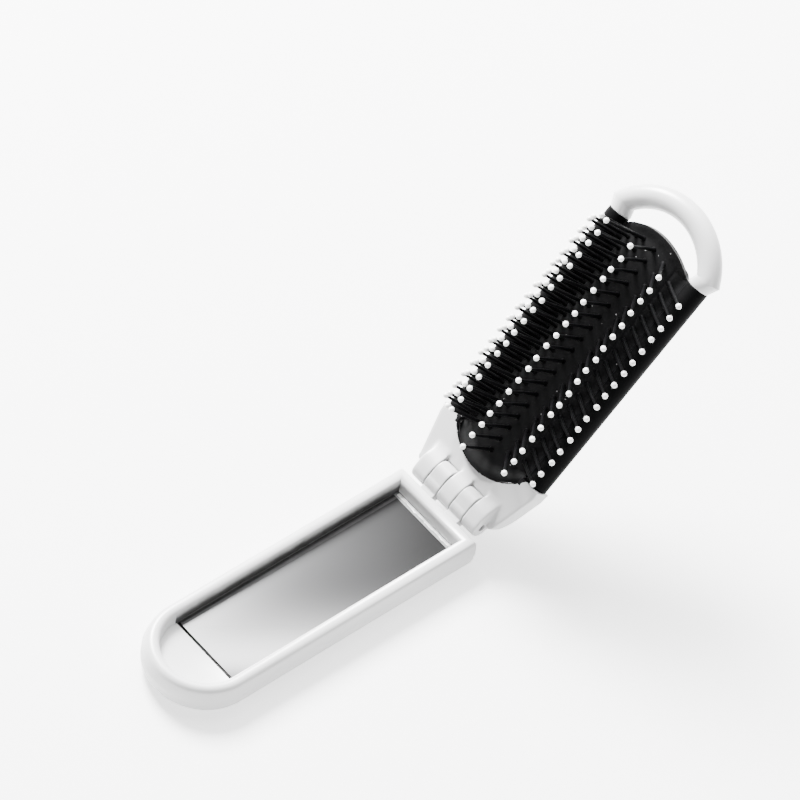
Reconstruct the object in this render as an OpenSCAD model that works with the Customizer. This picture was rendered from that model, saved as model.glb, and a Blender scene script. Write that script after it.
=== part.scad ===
// Folding hairbrush with a mirror in its cover, opened and standing on the cover's flat back.
// Hinge frame: origin on the hinge axis, Y along it, Z up, the cover toward -X.
// Brush frame: the same origin, X along the brush, Z toward the bristles.

/* [Cover] */
// Length of the cover, from its hinge edge to its round end
cover_len = 91; // [85:1:100]
// Widest half width of the cover
cover_half_w = 15.15; // [14.5:0.05:16.5]
// Thickness of the cover, from its back to its rim
cover_thick = 8.85; // [8.2:0.05:10]
// Distance of the cover's hinge edge from the hinge axis
cover_edge = 3.35; // [3.3:0.05:4]
// Width of the rounded rim round the mirror
rim_w = 3.6; // [3.2:0.1:4]
// Depth of the mirror below the rim
mirror_depth = 4; // [3.8:0.1:4.4]
// Radius of the rounded edge of the back
back_round = 3.4; // [2:0.1:4]
// Plan radius of the two corners at the hinge
cover_corner = 1.6; // [1:0.1:3]
// Radius of the back's edge along the hinge
hinge_edge_round = 2; // [1:0.1:3]
// How far the rim's outer edge stands in from the cover's widest line
rim_inset = 0.65; // [0.4:0.05:1]

/* [Mirror] */
// Thickness of the glass
glass_thick = 1.3; // [1:0.1:1.6]
// Thickness of the painted backing sheet behind the glass
backing_thick = 0.3; // [0.2:0.1:0.5]
// Thickness of the adhesive foam under the backing
adhesive_thick = 0.5; // [0.3:0.1:0.8]
// Length of the glass
glass_len = 71.6; // [66:0.1:72]
// Gap round the glass in its recess
glass_gap = 0.15; // [0.1:0.05:0.3]

/* [Hinge] */
// Radius of the hinge barrel
barrel_r = 3; // [2.8:0.1:3.2]
// Radius of the steel hinge pin
pin_r = 1; // [0.8:0.1:1.2]
// Width of one of the five knuckles, from gap middle to gap middle
knuckle_w = 4.76; // [4.4:0.02:5]
// Gap between neighbouring knuckles
knuckle_gap = 0.3; // [0.2:0.05:0.4]
// Radial running clearance of the pin in the cover's knuckles
pin_run = 0.06; // [0.04:0.01:0.1]
// Radial seat clearance of the pin in the brush's knuckles
pin_seat = 0.01; // [0.01:0.01:0.03]
// Depth of the pin's ends below the barrel's end faces
pin_recess = 0.7; // [0.4:0.1:1.2]
// Gap between the cover's rim and the brush frame when closed
closing_gap = 0.3; // [0.2:0.05:0.5]
// How far the brush stands up from the cover's plane when opened, in degrees
open_raise = 48; // [40:1:60]

/* [Brush frame] */
// Widest width of the brush
brush_w = 35; // [34:0.1:36]
// Distance from the hinge axis to the end of the hinge plate
plate_len = 16.2; // [15.5:0.1:17]
// Half width of the hinge plate at its shoulders
shoulder_half_w = 14.4; // [13.6:0.1:15]
// Thickness of the hinge plate
plate_thick = 6.15; // [5.8:0.05:6.6]
// Plan radius of the shoulders
shoulder_round = 2.6; // [1:0.1:3]
// Distance of the shoulders from the hinge axis along the brush
shoulder_start = 0.4; // [0.2:0.1:1.5]
// Length of the plate's straight edge beside the sleeves
plate_edge = 2.2; // [1.5:0.1:3]
// Radius of the plate's rounded heel under the hinge
heel_r = 6.4; // [5:0.1:7]
// How far the barrel reaches below the plate's heel and webs
heel_step = 0.2; // [0.1:0.05:0.4]
// Reach of the slots behind the cover's knuckles
slot_reach = 6.2; // [5:0.1:7]
// Length of the sleeves on the side rods
sleeve_len = 64.6; // [60:0.1:66]
// Gap at each end of a sleeve
sleeve_gap = 0.1; // [0.05:0.05:0.3]
// Radial running clearance of a sleeve on its rod
rod_run = 0.05; // [0.03:0.01:0.1]
// Outer radius of a sleeve
sleeve_r = 3; // [2.8:0.1:3.1]
// Radius of a side rod inside its sleeve
rod_r = 2.1; // [1.6:0.1:2.3]
// Depth of a rod's socket in the hinge plate
socket_depth = 6; // [4:0.5:8]
// Radius of the loop's tube
loop_tube_r = 3.1; // [2.8:0.1:3.2]
// Radius of the loop's outer edge
loop_r = 21.2; // [20.5:0.1:22]
// Half of the angle of the loop's arc
loop_half_angle = 59; // [56:1:62]
// Length of the loop's straight stubs, from the sleeves to the arc's corners
stub_len = 2.8; // [2.4:0.1:3.4]
// How far a stub runs on into the arc
stub_sink = 0.9; // [0.7:0.1:1]
// How much lower than the frame's top the tubes lie
tube_drop = 0.05; // [0.05:0.05:0.2]

/* [Pad] */
// Half width of the rubber pad
pad_half_w = 11.2; // [10.8:0.1:11.3]
// Thickness of the pad
pad_thick = 1.8; // [1.6:0.1:2.2]
// Height of the arch's crest over the pad's long edges
pad_crest = 2.5; // [2:0.1:3]
// Distance from the hinge axis to the pad's end at the hinge
pad_start = 9.8; // [9.4:0.1:11]
// Gap between the pad's end and the loop
loop_gap = 4.8; // [4.4:0.1:6]
// Plan radius of the pad's end at the hinge
pad_start_r = 15.2; // [14:0.1:20]
// Plan radius of the pad's end at the loop
pad_end_r = 17; // [14:0.1:20]
// Clearance between the pad and the hinge plate's cut-out
pad_gap = 0.4; // [0.3:0.05:0.6]
// Gap between the pad's middle panel and the webs of the sleeves
web_gap = 0.3; // [0.25:0.05:0.35]
// Rubber left beside an outer row's bead on its web
web_margin = 0.2; // [0.15:0.05:0.3]
// How far a web runs into its sleeve's wall
web_sink = 0.7; // [0.5:0.05:0.7]

/* [Bristles] */
// Spacing of the rows across the pad
row_spacing = 4.2; // [4:0.05:4.2]
// Length of the middle row's bristles, from the bead's axis to the ball's centre
bristle_len = 15.1; // [14:0.1:15.2]
// Spacing of the bristles along a row
bristle_pitch = 3.6; // [3.4:0.05:3.8]
// Radius of a bristle
bristle_r = 0.48; // [0.4:0.01:0.52]
// Radius of the ball on a bristle's tip
ball_r = 0.8; // [0.7:0.05:0.85]
// Radius of the rubber bead that carries a row
bead_r = 0.6; // [0.55:0.01:0.65]
// Radial running clearance of a bead in its groove
bead_run = 0.08; // [0.05:0.01:0.1]
// Distance from a ball's centre down to the flat that seats on the bristle
ball_seat = 0.48; // [0.4:0.02:0.5]
// Depth of a bead's centre line under the pad's surface
bead_depth = 0.1; // [0.05:0.01:0.12]

/* [Hidden] */
$fn = 96;
eps = 0.01;
far = 60;

// Heights in the hinge frame
rim_z = -closing_gap / 2;
back_z = rim_z - cover_thick;
mirror_z = rim_z - mirror_depth;
backing_z = mirror_z - glass_thick;
adhesive_z = backing_z - backing_thick;
recess_z = adhesive_z - adhesive_thick;

// Cover outline
cover_end = cover_edge + cover_len;
cover_centre = cover_edge + cover_len / 2;
bow_x = cover_end - cover_half_w;
belly_z = rim_z - cover_thick * 0.44;
rim_outer = cover_half_w - rim_inset;
pocket_half_w = rim_outer - rim_w;
rim_round = rim_w / 2;
pocket_start = cover_edge + rim_w;
glass_start = pocket_start + glass_gap;
edge_steps = 7;

// Hinge
barrel_half = 2.5 * knuckle_w;
pin_len = 2 * (barrel_half - pin_recess);

// Brush frame
rod_y = brush_w / 2 - sleeve_r;
frame_top = -closing_gap / 2;
rod_z = frame_top - loop_tube_r - tube_drop;
sleeve_end = plate_len + sleeve_len;
loop_mid_r = loop_r - loop_tube_r;
loop_corner = sleeve_end + stub_len;
loop_centre = loop_corner - loop_mid_r * cos(loop_half_angle);
loop_end = loop_centre + loop_r;
stub_end = loop_corner + stub_sink;

// Pad: the arch is a stretch of a tube whose radius follows from its width and crest
pad_end = loop_end - 2 * loop_tube_r - loop_gap;
pad_pitches = (pad_end - pad_start) / bristle_pitch;
arch_r = (pow(pad_half_w, 2) + pow(pad_crest, 2)) / (2 * pad_crest);
arch_z = rod_z + pad_crest - arch_r;

// Rows from right to left: place across the pad in row spacings, lean in degrees toward the left,
// length as a share of the middle row's, and the bare ends of the pad in bristle spacings
row_a = [-2, -43.3, 0.908, 2.55, 2.1];
row_b = [-1, -26.7, 1.033, 2.3, 1.4];
row_c = [0, 0, 1, 1.6, 1.1];
row_d = [1, 20.8, 0.987, 2.65, 1];
row_e = [1.5, 24.5, 0.864, 2.45, 1.2];
row_f = [1.94, 31.5, 0.774, 2.95, 1.7];
row_g = [2.43, 35.4, 0.663, 2.45, 2.1];

// The outer rows stand on the sleeves' webs; the others on the pad's middle panel
right_web_y = abs(row_a[0]) * row_spacing - bead_r - web_margin;
left_web_y = abs(row_g[0]) * row_spacing - bead_r - web_margin;
web_start = plate_len + sleeve_gap + web_gap;
web_end = sleeve_end - sleeve_gap - web_gap;

// Points on an arc round c, from angle a0 to a1
function arc(c, r, a0, a1, steps) =
    [for (i = [0:steps]) let (a = a0 + (a1 - a0) * i / steps) c + r * [cos(a), sin(a)]];

// Height of the pad's surface at a distance y from its middle
function pad_surface(y) = arch_z + sqrt(pow(arch_r, 2) - y * y);

// A row's axis, the middle of its bead, as [y, z]
function row_axis(row) =
    let (y = row[0] * row_spacing) [y, pad_surface(y) - bead_depth];

// Length of a row's bristles, from the row's axis to the balls' centres
function row_length(row) = row[2] * bristle_len;

// Number of bristles in a row, as many as fit between the pad's bare ends
function row_count(row) = floor(pad_pitches - row[3] - row[4]) + 1;

// Distance from the hinge axis to a row's bristle number i
function bristle_x(row, i) = pad_start + (row[3] + i) * bristle_pitch;

// Half of the cover's cross-section, from its middle line outward
function cover_half_section() = concat(
    [[0, back_z]],
    arc([cover_half_w - back_round, back_z + back_round], back_round, -90, -8, edge_steps),
    [[cover_half_w, belly_z]],
    arc([rim_outer - rim_round, rim_z - rim_round], rim_round, 14, 90, edge_steps),
    [[0, rim_z]]);

// Half of the pocket's cross-section, flared at its mouth by the rim's rounding
function pocket_half_section() = concat(
    [[0, mirror_z], [pocket_half_w, mirror_z]],
    arc([pocket_half_w + rim_round, rim_z - rim_round], rim_round, 180, 90, edge_steps),
    [[pocket_half_w + rim_round, rim_z + 1], [0, rim_z + 1]]);

// Cover's outline along the hinge edge, seen from the side
function hinge_edge_section() = concat(
    [[-far * 2, back_z]],
    arc([-cover_edge - hinge_edge_round, back_z + hinge_edge_round], hinge_edge_round, -90, 0, edge_steps),
    arc([-cover_edge - rim_round, rim_z - rim_round], rim_round, 0, 90, edge_steps),
    [[-far * 2, rim_z]]);

// Pocket's outline at the hinge, seen from the side
function pocket_edge_section() = concat(
    [[-far * 2, mirror_z], [-pocket_start, mirror_z]],
    arc([-pocket_start + rim_round, rim_z - rim_round], rim_round, 180, 90, edge_steps),
    [[-pocket_start + rim_round, rim_z + 1], [-far * 2, rim_z + 1]]);

module in_hinge_frame() {
    translate([cover_centre, 0, -back_z]) children();
}

module in_brush_frame() {
    in_hinge_frame() rotate([0, -open_raise, 0]) children();
}

// A half section swept along the cover: straight from the hinge, then round its far end
module cover_sweep(half_section) {
    for (side = [0, 1]) {
        mirror([0, side, 0]) {
            rotate([90, 0, -90]) mirror([1, 0, 0]) linear_extrude(bow_x) polygon(half_section);
        }
    }
    translate([-bow_x, 0, 0]) rotate([0, 0, 90]) rotate_extrude(angle = 180) polygon(half_section);
}

// A side outline drawn out across the cover
module across(section) {
    translate([0, far, 0]) rotate([90, 0, 0]) linear_extrude(2 * far) polygon(section);
}

// A cylinder along the hinge axis
module along_hinge(r, y0, y1) {
    translate([0, y1, 0]) rotate([90, 0, 0]) cylinder(r = r, h = y1 - y0);
}

// A cylinder along the brush
module along_brush(r, x0, x1, y, z) {
    translate([x0, y, z]) rotate([0, 90, 0]) cylinder(r = r, h = x1 - x0);
}

// The cover's plan at the hinge, with its two corners rounded
module cover_plan() {
    inner = cover_half_w - cover_corner;
    outline = concat(
        [[-far * 2, -far], [-cover_edge - cover_corner, -far]],
        [[-cover_edge - cover_corner, -cover_half_w - eps]],
        arc([-cover_edge - cover_corner, -inner], cover_corner, -90, 0, edge_steps),
        arc([-cover_edge - cover_corner, inner], cover_corner, 0, 90, edge_steps),
        [[-cover_edge - cover_corner, far], [-far * 2, far]]);
    translate([0, 0, back_z - 1]) linear_extrude(cover_thick + 2) polygon(outline);
}

module cover_knuckle(middle) {
    half = (knuckle_w - knuckle_gap) / 2;
    along_hinge(barrel_r, middle - half, middle + half);
    translate([-cover_edge - 1, middle - half, -barrel_r]) {
        cube([cover_edge + 1, 2 * half, barrel_r - closing_gap]);
    }
}

module cover_shell() {
    color("whitesmoke") in_hinge_frame() difference() {
        union() {
            intersection() {
                cover_sweep(cover_half_section());
                across(hinge_edge_section());
                cover_plan();
            }
            cover_knuckle(knuckle_w);
            cover_knuckle(-knuckle_w);
        }
        intersection() {
            cover_sweep(pocket_half_section());
            across(pocket_edge_section());
        }
        translate([-glass_start - glass_len - glass_gap, -pocket_half_w, recess_z]) {
            cube([glass_len + 2 * glass_gap, 2 * pocket_half_w, -recess_z]);
        }
        along_hinge(pin_r + pin_run, -barrel_half, barrel_half);
    }
}

// A sheet in the glass's recess, from one height to another
module mirror_sheet(z0, z1) {
    in_hinge_frame() translate([-glass_start - glass_len, -pocket_half_w + glass_gap, z0]) {
        cube([glass_len, 2 * (pocket_half_w - glass_gap), z1 - z0]);
    }
}

module mirror_glass() {
    color("silver") mirror_sheet(backing_z, mirror_z);
}

module mirror_backing() {
    color("dimgray") mirror_sheet(adhesive_z, backing_z);
}

module adhesive_pad() {
    color("lightgray") mirror_sheet(recess_z, adhesive_z);
}

// The pad's plan, grown all round by a clearance
module pad_plan(grow, z0, z1) {
    start_centre = pad_start + pad_start_r;
    end_centre = pad_end - pad_end_r;
    intersection() {
        translate([0, -pad_half_w - grow, z0]) cube([loop_end, 2 * (pad_half_w + grow), z1 - z0]);
        union() {
            translate([start_centre, 0, z0]) cylinder(r = pad_start_r + grow, h = z1 - z0);
            translate([end_centre, 0, z0]) cylinder(r = pad_end_r + grow, h = z1 - z0);
            translate([start_centre, -far / 2, z0]) cube([end_centre - start_centre, far, z1 - z0]);
        }
    }
}

// Half of the hinge plate's plan: rounded shoulder, then tapering out to the sleeves
function plate_half_plan() = concat(
    [[shoulder_start, 0]],
    arc([shoulder_start + shoulder_round, shoulder_half_w - shoulder_round],
        shoulder_round, 180, 100, edge_steps),
    [[plate_len - plate_edge, brush_w / 2], [plate_len, brush_w / 2], [plate_len, 0]]);

// The hinge plate's outline, seen from the side
function plate_side() = concat(
    [[0, frame_top], [0, -barrel_r + heel_step]],
    arc([heel_r, frame_top - plate_thick + heel_r], heel_r, -145, -90, edge_steps),
    [[plate_len, frame_top - plate_thick], [plate_len, frame_top]]);

module frame_knuckle(y0, y1) {
    along_hinge(barrel_r, y0, y1);
    translate([0, y0, -barrel_r + heel_step]) {
        cube([barrel_r, y1 - y0, barrel_r - heel_step + frame_top]);
    }
}

module hinge_plate() {
    half_gap = knuckle_gap / 2;
    color("whitesmoke") in_brush_frame() difference() {
        union() {
            difference() {
                intersection() {
                    union() {
                        for (side = [0, 1]) {
                            mirror([0, side, 0]) translate([0, 0, -far / 2]) {
                                linear_extrude(far) polygon(plate_half_plan());
                            }
                        }
                    }
                    across(plate_side());
                }
                pad_plan(pad_gap, -far / 2, far / 2);
                for (side = [-1, 1]) {
                    translate([-1, side * knuckle_w - knuckle_w / 2 - half_gap, -far / 2]) {
                        cube([slot_reach + 1, knuckle_w + 2 * half_gap, far]);
                    }
                }
            }
            frame_knuckle(-knuckle_w / 2 + half_gap, knuckle_w / 2 - half_gap);
            frame_knuckle(1.5 * knuckle_w + half_gap, barrel_half);
            frame_knuckle(-barrel_half, -1.5 * knuckle_w - half_gap);
        }
        along_hinge(pin_r + pin_seat, -far, far);
        for (side = [-1, 1]) {
            along_brush(rod_r, plate_len - socket_depth, plate_len + 1, side * rod_y, rod_z);
        }
    }
}

module hinge_pin() {
    color("gray") in_hinge_frame() along_hinge(pin_r, -pin_len / 2, pin_len / 2);
}

module loop_handle() {
    color("whitesmoke") in_brush_frame() {
        translate([loop_centre, 0, rod_z]) rotate([0, 0, -loop_half_angle]) {
            rotate_extrude(angle = 2 * loop_half_angle) translate([loop_mid_r, 0]) circle(loop_tube_r);
        }
        for (side = [-1, 1]) {
            along_brush(sleeve_r, sleeve_end, stub_end, side * rod_y, rod_z);
            along_brush(rod_r, plate_len - socket_depth, sleeve_end + 1, side * rod_y, rod_z);
        }
    }
}

// A stretch of the rubber arch, as wide and long as the pad's tube of rubber is cut
module arch() {
    difference() {
        along_brush(arch_r, 0, loop_end, 0, arch_z);
        along_brush(arch_r - pad_thick, -1, loop_end + 1, 0, arch_z);
    }
}

// The space beside the middle panel on one side, from a distance y outward
module web_space(side, y, x0, x1) {
    y_outer = rod_y - sleeve_r + web_sink;
    translate([x0, side > 0 ? y : -y_outer, -far / 2]) cube([x1 - x0, y_outer - y, far]);
}

// A rubber sleeve with the web that carries the outer row, turning on its rod
module sleeve(side, web_y, row) {
    color("#2a2a2a") in_brush_frame() difference() {
        union() {
            along_brush(sleeve_r, plate_len + sleeve_gap, sleeve_end - sleeve_gap, side * rod_y, rod_z);
            intersection() {
                arch();
                web_space(side, web_y, web_start, web_end);
            }
        }
        along_brush(rod_r + rod_run, plate_len - 1, sleeve_end + 1, side * rod_y, rod_z);
        bead_groove(row, 0);
    }
}

module left_sleeve() {
    sleeve(1, left_web_y, row_g);
}

module right_sleeve() {
    sleeve(-1, right_web_y, row_a);
}

// Where a row's bead begins and ends
function bead_start(row) = bristle_x(row, -0.5);
function bead_end(row) = bristle_x(row, row_count(row) - 0.5);

module bead_groove(row, clearance) {
    at = row_axis(row);
    along_brush(bead_r + clearance, bead_start(row) - clearance, bead_end(row) + clearance, at[0], at[1]);
}

module pad_panel() {
    color("#1c1c1e") in_brush_frame() difference() {
        intersection() {
            pad_plan(0, rod_z - pad_thick - 2, rod_z + pad_crest + 1);
            arch();
        }
        web_space(1, left_web_y - web_gap, web_start - web_gap, web_end + web_gap);
        web_space(-1, right_web_y - web_gap, web_start - web_gap, web_end + web_gap);
        for (row = [row_b, row_d, row_e, row_f]) {
            bead_groove(row, bead_run);
        }
        bead_groove(row_c, 0);
    }
}

// Places a shape that stands on a row's axis at each bristle of the row, leaning with it
module along_row(row) {
    at = row_axis(row);
    for (i = [0:row_count(row) - 1]) {
        translate([bristle_x(row, i), at[0], at[1]]) rotate([-row[1], 0, 0]) children();
    }
}

// The bristles of one row on the bead that carries them
module bristle_row(row) {
    at = row_axis(row);
    color("#202020") in_brush_frame() union() {
        along_brush(bead_r, bead_start(row), bead_end(row), at[0], at[1]);
        along_row(row) cylinder(r = bristle_r, h = row_length(row) - ball_seat, $fn = 4);
    }
}

// The balls on the tips of one row, each seated on its bristle's end
module tip_row(row) {
    color("white") in_brush_frame() along_row(row) {
        translate([0, 0, row_length(row)]) difference() {
            sphere(r = ball_r, $fn = 32);
            translate([-ball_r, -ball_r, -ball_seat - ball_r]) cube([2 * ball_r, 2 * ball_r, ball_r]);
        }
    }
}

module row_a_bristles() { bristle_row(row_a); }
module row_b_bristles() { bristle_row(row_b); }
module row_c_bristles() { bristle_row(row_c); }
module row_d_bristles() { bristle_row(row_d); }
module row_e_bristles() { bristle_row(row_e); }
module row_f_bristles() { bristle_row(row_f); }
module row_g_bristles() { bristle_row(row_g); }
module row_a_tips() { tip_row(row_a); }
module row_b_tips() { tip_row(row_b); }
module row_c_tips() { tip_row(row_c); }
module row_d_tips() { tip_row(row_d); }
module row_e_tips() { tip_row(row_e); }
module row_f_tips() { tip_row(row_f); }
module row_g_tips() { tip_row(row_g); }

cover_shell();
mirror_glass();
mirror_backing();
adhesive_pad();
hinge_plate();
hinge_pin();
loop_handle();
left_sleeve();
right_sleeve();
pad_panel();
row_a_bristles();
row_b_bristles();
row_c_bristles();
row_d_bristles();
row_e_bristles();
row_f_bristles();
row_g_bristles();
row_a_tips();
row_b_tips();
row_c_tips();
row_d_tips();
row_e_tips();
row_f_tips();
row_g_tips();
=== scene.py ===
"""Visual model of a folding hairbrush with a mirror in its cover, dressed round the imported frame.

Every piece is modelled in millimetres, either in the hinge frame (origin on the hinge axis, cover
toward -X, Z up) or in the brush frame (the same origin, X along the brush, Z toward the bristles),
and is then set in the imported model's frame, in metres.
"""

import logging
import math
import random
from contextlib import contextmanager
from dataclasses import dataclass
from enum import Enum
from typing import Callable, Iterator, Sequence, Union

import bmesh
import bpy
from mathutils import Matrix, Vector


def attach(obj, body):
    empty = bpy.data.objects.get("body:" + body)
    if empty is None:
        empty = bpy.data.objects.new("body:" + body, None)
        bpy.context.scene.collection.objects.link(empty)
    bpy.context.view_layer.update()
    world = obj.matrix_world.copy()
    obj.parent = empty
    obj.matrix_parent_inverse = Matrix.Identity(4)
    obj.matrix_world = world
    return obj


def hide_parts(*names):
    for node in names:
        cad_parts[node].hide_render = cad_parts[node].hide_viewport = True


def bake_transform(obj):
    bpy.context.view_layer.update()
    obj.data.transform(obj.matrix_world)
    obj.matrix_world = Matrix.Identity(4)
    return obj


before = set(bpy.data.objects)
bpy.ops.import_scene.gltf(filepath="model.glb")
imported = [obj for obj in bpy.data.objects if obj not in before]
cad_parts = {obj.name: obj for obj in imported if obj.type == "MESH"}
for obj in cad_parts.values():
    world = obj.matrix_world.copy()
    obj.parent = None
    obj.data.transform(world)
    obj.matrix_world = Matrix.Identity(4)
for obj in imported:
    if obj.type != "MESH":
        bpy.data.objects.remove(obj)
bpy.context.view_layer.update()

log = logging.getLogger("hairbrush")

Point = tuple[float, float]
Triple = tuple[float, float, float]
Rule = Callable[[Vector, Vector], bool]
Thing = bpy.types.Object
Tree = bpy.types.NodeTree
Node = bpy.types.Node
Socket = bpy.types.NodeSocket

MILLIMETRE = 0.001
OPEN_RAISE = 48.0
HINGE_AXIS = Vector((0.04885, 0.0, 0.009))
HINGE_FRAME = Matrix.Translation(HINGE_AXIS) @ Matrix.Scale(MILLIMETRE, 4)
BRUSH_FRAME = (
    Matrix.Translation(HINGE_AXIS)
    @ Matrix.Rotation(math.radians(-OPEN_RAISE), 4, "Y")
    @ Matrix.Scale(MILLIMETRE, 4)
)

# Millimetres within which a point counts as in its place.
HAIR = 0.01
# Share of a normal along Z from which its face counts as level.
LEVEL = 0.99
# Degrees from which an edge is sharp enough to be rounded.
EDGE_ANGLE = 50.0


@dataclass(frozen=True)
class Knuckles:
    """Sizes that the hinge's five interleaved knuckles share."""

    radius: float = 3.0
    pitch: float = 4.76
    gap: float = 0.3


@dataclass(frozen=True)
class Rods:
    """Place and size of the loop's two rods, on which the sleeves turn."""

    y: float = 14.5
    z: float = -3.3
    radius: float = 2.1


KNUCKLES = Knuckles()
RODS = Rods()


# ---------------------------------------------------------------- bench work


class Part(Enum):
    """What a choice in edit mode picks: the operator's name for it and the mesh's."""

    VERTS = ("VERT", "verts")
    EDGES = ("EDGE", "edges")
    FACES = ("FACE", "faces")


class Cut(Enum):
    """How one block changes another."""

    ADD = "UNION"
    REMOVE = "DIFFERENCE"
    KEEP_COMMON = "INTERSECT"


def take_up(piece: Thing) -> None:
    """Make one piece the only selected object and the active one.

    Args:
        piece: The piece to work on next.
    """
    for other in bpy.context.selected_objects:
        other.select_set(False)
    piece.select_set(True)
    bpy.context.view_layer.objects.active = piece


def fresh(name: str) -> Thing:
    """Name the primitive just added and set its place in its mesh.

    Args:
        name: Name of the piece.

    Returns:
        The piece.
    """
    piece = bpy.context.object
    piece.name = name
    take_up(piece)
    bpy.ops.object.transform_apply(location=True, rotation=True, scale=True)
    return piece


@contextmanager
def editing(piece: Thing) -> Iterator[None]:
    """Hold a piece in edit mode, with nothing selected at the start.

    Args:
        piece: The piece to edit.
    """
    take_up(piece)
    bpy.ops.object.mode_set(mode="EDIT")
    bpy.ops.mesh.select_all(action="DESELECT")
    yield
    bpy.ops.object.mode_set(mode="OBJECT")


def pick_all() -> None:
    """Select everything, in edit mode."""
    bpy.ops.mesh.select_all(action="SELECT")


def pick(piece: Thing, part: Part, rule: Rule) -> None:
    """Select what passes a rule, in edit mode.

    Args:
        piece: The piece in edit mode.
        part: Vertices, edges or faces.
        rule: Takes a middle point and a normal, and says whether to select.
    """
    kind, group = part.value
    bpy.ops.mesh.select_mode(type=kind)
    bpy.ops.mesh.select_all(action="DESELECT")
    shape = bmesh.from_edit_mesh(piece.data)
    for item in getattr(shape, group):
        if part is Part.VERTS:
            place, normal = item.co, item.normal
        elif part is Part.EDGES:
            place, normal = (item.verts[0].co + item.verts[1].co) / 2, Vector()
        else:
            place, normal = item.calc_center_median(), item.normal
        if rule(place, normal):
            item.select_set(True)
    shape.select_flush_mode()
    bmesh.update_edit_mesh(piece.data)


def pick_widest(piece: Thing, rule: Rule) -> None:
    """Select the largest face that passes a rule, in edit mode.

    Args:
        piece: The piece in edit mode.
        rule: Takes a face's middle and normal.
    """
    pick(piece, Part.FACES, rule)
    shape = bmesh.from_edit_mesh(piece.data)
    chosen = [face for face in shape.faces if face.select]
    widest = max(chosen, key=lambda face: face.calc_area())
    bpy.ops.mesh.select_all(action="DESELECT")
    widest.select_set(True)
    shape.faces.active = widest
    bmesh.update_edit_mesh(piece.data)


def gather_corners(shell: Thing, x: float, y: float, reach: float = 0.6) -> None:
    """Bring the selected vertices of the two hinge corners together in one sharp corner each.

    Args:
        shell: The shell in edit mode.
        x: Where both corners lie along X.
        y: How far each corner lies from the middle.
        reach: How far behind x a vertex still belongs to its corner.
    """
    shape = bmesh.from_edit_mesh(shell.data)
    for vertex in shape.verts:
        if vertex.select and vertex.co.x > x - reach:
            vertex.co.x, vertex.co.y = x, math.copysign(y, vertex.co.y)
    bmesh.update_edit_mesh(shell.data)
    bpy.ops.mesh.remove_doubles(threshold=HAIR)


def push(x: float = 0.0, y: float = 0.0, z: float = 0.0) -> None:
    """Extrude what is selected by a step."""
    bpy.ops.mesh.extrude_region_move(TRANSFORM_OT_translate={"value": (x, y, z)})


def shift(x: float = 0.0, y: float = 0.0, z: float = 0.0) -> None:
    """Move what is selected by a step."""
    bpy.ops.transform.translate(value=(x, y, z))


def swell(factor: Triple, middle: Sequence[float]) -> None:
    """Scale what is selected about a point."""
    bpy.ops.transform.resize(value=factor, center_override=tuple(middle))


def step_in(inward: float, along: float) -> None:
    """Inset the selected face, and move it along its normal."""
    bpy.ops.mesh.inset(thickness=inward, depth=along, use_boundary=True, use_even_offset=True)


def turn_outward(piece: Thing, merge: float = 0.001) -> None:
    """Merge doubled vertices and point every face outward.

    Args:
        piece: The piece, in object mode.
        merge: The distance within which vertices are merged.
    """
    with editing(piece):
        pick_all()
        bpy.ops.mesh.remove_doubles(threshold=merge)
        bpy.ops.mesh.normals_make_consistent(inside=False)


def work(piece: Thing, kind: str, **settings: object) -> None:
    """Add a modifier to a piece and apply it.

    Args:
        piece: The piece to change.
        kind: Blender's name of the modifier.
        **settings: The modifier's settings.
    """
    take_up(piece)
    change = piece.modifiers.new(kind.lower(), kind)
    for key, value in settings.items():
        setattr(change, key, value)
    bpy.ops.object.modifier_apply(modifier=change.name)


def round_edges(piece: Thing, width: float, segments: int) -> None:
    """Round a piece's sharp edges."""
    work(piece, "BEVEL", width=width, segments=segments, limit_method="ANGLE",
         angle_limit=math.radians(EDGE_ANGLE))


def carve(piece: Thing, tool: Thing, how: Cut) -> None:
    """Add a block to a piece or take it away, and put the block aside."""
    work(piece, "BOOLEAN", operation=how.value, object=tool, solver="EXACT")
    bpy.data.objects.remove(tool)


def block(name: str, outline: Sequence[Point], low: float, high: float,
          across: bool = False) -> Thing:
    """Draw an outline with a filled circle's vertices and extrude it.

    Args:
        name: Name of the block.
        outline: Points in X and Y, or in X and Z where it is extruded across.
        low: Where the extrusion starts.
        high: Where the extrusion ends.
        across: Whether it runs along Y instead of Z.

    Returns:
        The closed block.
    """
    bpy.ops.mesh.primitive_circle_add(vertices=len(outline), radius=1, fill_type="NGON")
    piece = fresh(name)
    for corner, (a, b) in zip(piece.data.vertices, outline):
        corner.co = (a, low, b) if across else (a, b, low)
    with editing(piece):
        pick_all()
        push(y=high - low) if across else push(z=high - low)
    turn_outward(piece)
    return piece


def barrel(name: str, radius: float, y0: float, y1: float, corners: int = 64) -> Thing:
    """Model a round bar along the hinge axis.

    Args:
        name: Name of the bar.
        radius: Its radius.
        y0: Where it starts.
        y1: Where it ends.
        corners: How many corners its section has.

    Returns:
        The closed bar.
    """
    bpy.ops.mesh.primitive_cylinder_add(
        vertices=corners,
        radius=radius,
        depth=y1 - y0,
        location=(0, (y0 + y1) / 2, 0),
        rotation=(math.pi / 2, 0, 0),
    )
    return fresh(name)


def arc(middle: Point, radius: float, start: float, end: float, steps: int) -> list[Point]:
    """Points on an arc, angles in degrees."""
    angles = [math.radians(start + (end - start) * i / steps) for i in range(steps + 1)]
    return [(middle[0] + radius * math.cos(a), middle[1] + radius * math.sin(a)) for a in angles]


def ease(value: float, low: float, high: float) -> float:
    """Smooth step from 0 at low to 1 at high."""
    share = min(max((value - low) / (high - low), 0.0), 1.0)
    return share * share * (3 - 2 * share)


def model_over(piece: Thing, rule: Callable[[Vector], Sequence[float]]) -> None:
    """Move each vertex of a piece to where a rule puts it."""
    for corner in piece.data.vertices:
        corner.co = rule(corner.co.copy())


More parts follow.
